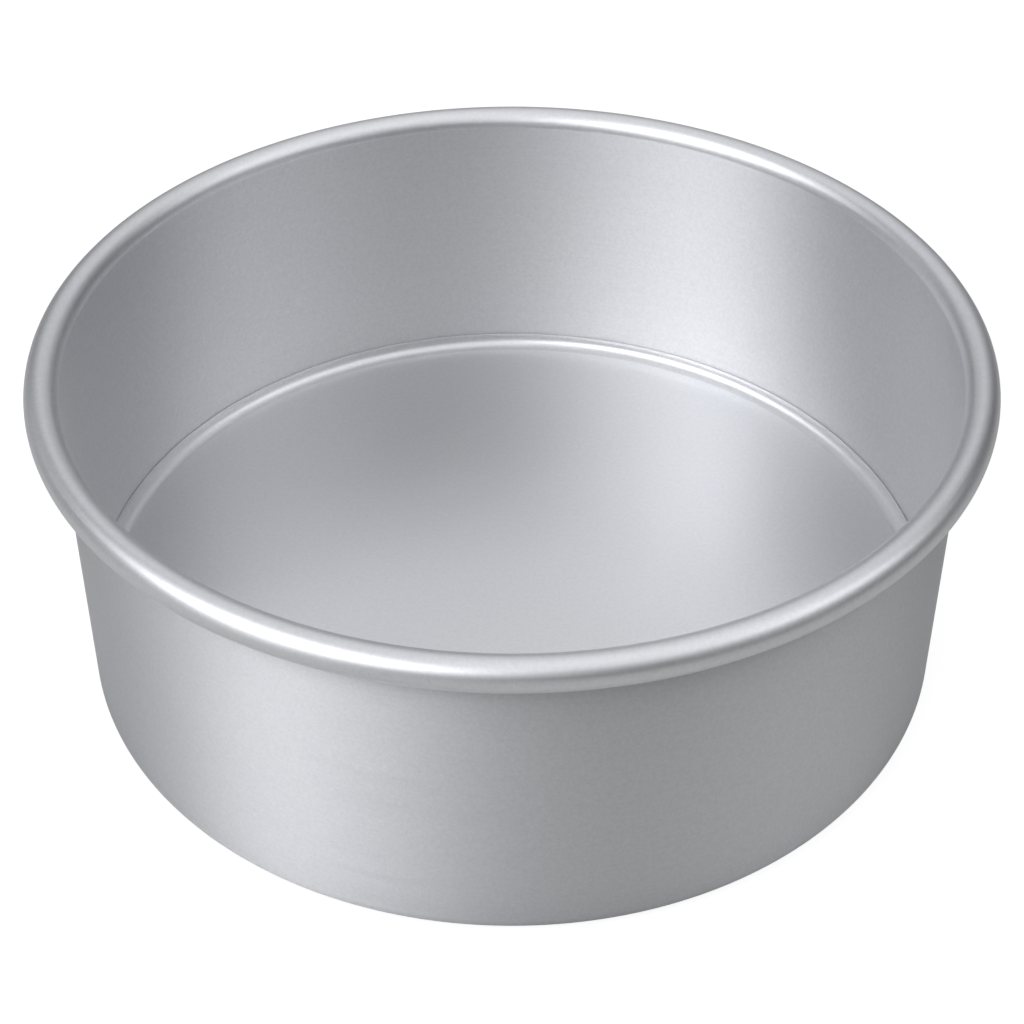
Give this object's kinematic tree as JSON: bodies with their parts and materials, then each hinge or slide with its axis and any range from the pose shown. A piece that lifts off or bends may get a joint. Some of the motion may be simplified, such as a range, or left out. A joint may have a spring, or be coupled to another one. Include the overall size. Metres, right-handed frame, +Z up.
{
  "type": "round cake tin",
  "caption": "Deep round baking tin in satin aluminium, its rim rolled outwards and its foot rolled inwards, with a loose base that lifts out.",
  "frame": {"origin": "middle of the foot, in the plane that the tin stands on", "axes": "+Z up along the tin's axis, from the foot to the rim; X and Y are any two directions across it"},
  "size_m": [0.215, 0.215, 0.0825],
  "materials": {
    "shell_satin": "satin anodised",
    "base_satin": "satin anodised"
  },
  "bodies": {
    "shell": {"tin_shell": "shell_satin"},
    "base": {"loose_base": "base_satin"}
  },
  "joints": [
    {"name": "base_lift", "type": "slide", "parent": "shell", "child": "base", "axis": [0, 0, 1], "range_m": [0, 0.085]}
  ]
}
